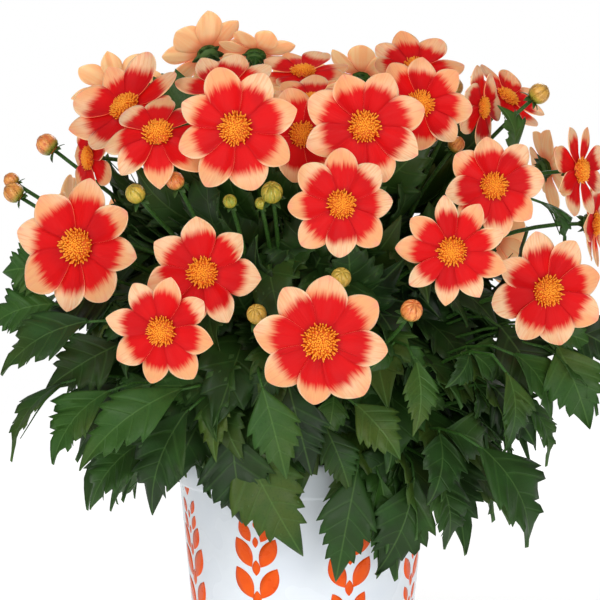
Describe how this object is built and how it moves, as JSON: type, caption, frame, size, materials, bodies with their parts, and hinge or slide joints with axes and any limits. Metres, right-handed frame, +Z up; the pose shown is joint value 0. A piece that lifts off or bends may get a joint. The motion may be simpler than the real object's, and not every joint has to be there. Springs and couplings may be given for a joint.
{
  "type": "potted dahlia",
  "caption": "Bushy dahlia in a tapered pot: a dome of single red and peach blooms over toothed dark green leaves, standing in soil.",
  "frame": {"origin": "middle of the pot's flat underside, on the surface that it stands on", "axes": "+Z up along the pot's axis; the front, which the picture shows, faces -Y; +X to the right seen from the front"},
  "size_m": [0.3592, 0.317, 0.3958],
  "materials": {
    "pot": "gloss",
    "print": "gloss",
    "soil": "matte",
    "leaf": "satin",
    "petal": "satin",
    "disc": "matte"
  },
  "bodies": {
    "root": {"pot": "pot", "soil": "soil", "leafy_stem_1": "leaf", "leafy_stem_2": "leaf", "leafy_stem_3": "leaf", "leafy_stem_4": "leaf", "leafy_stem_5": "leaf", "leafy_stem_6": "leaf", "leafy_stem_7": "leaf", "leafy_stem_8": "leaf", "leafy_stem_9": "leaf", "bloom_01": "petal", "bloom_02": "petal", "bloom_03": "petal", "bloom_04": "petal", "bloom_05": "petal", "bloom_06": "petal", "bloom_07": "petal", "bloom_08": "petal", "bloom_09": "petal", "bloom_10": "petal", "bloom_11": "petal", "bloom_12": "petal", "bloom_13": "petal", "bloom_14": "petal", "bloom_15": "petal", "bloom_16": "petal", "bloom_17": "petal", "bloom_18": "petal", "bloom_19": "petal", "bloom_20": "petal", "bloom_21": "petal", "bloom_22": "petal", "bloom_23": "petal", "bloom_24": "petal", "bloom_25": "petal", "bloom_26": "petal", "bloom_27": "petal", "bloom_28": "petal", "bloom_29": "petal", "bloom_30": "petal", "bloom_31": "petal", "bloom_32": "petal", "bloom_33": "petal", "bloom_34": "petal", "bloom_35": "petal", "bloom_36": "petal"}
  },
  "joints": []
}
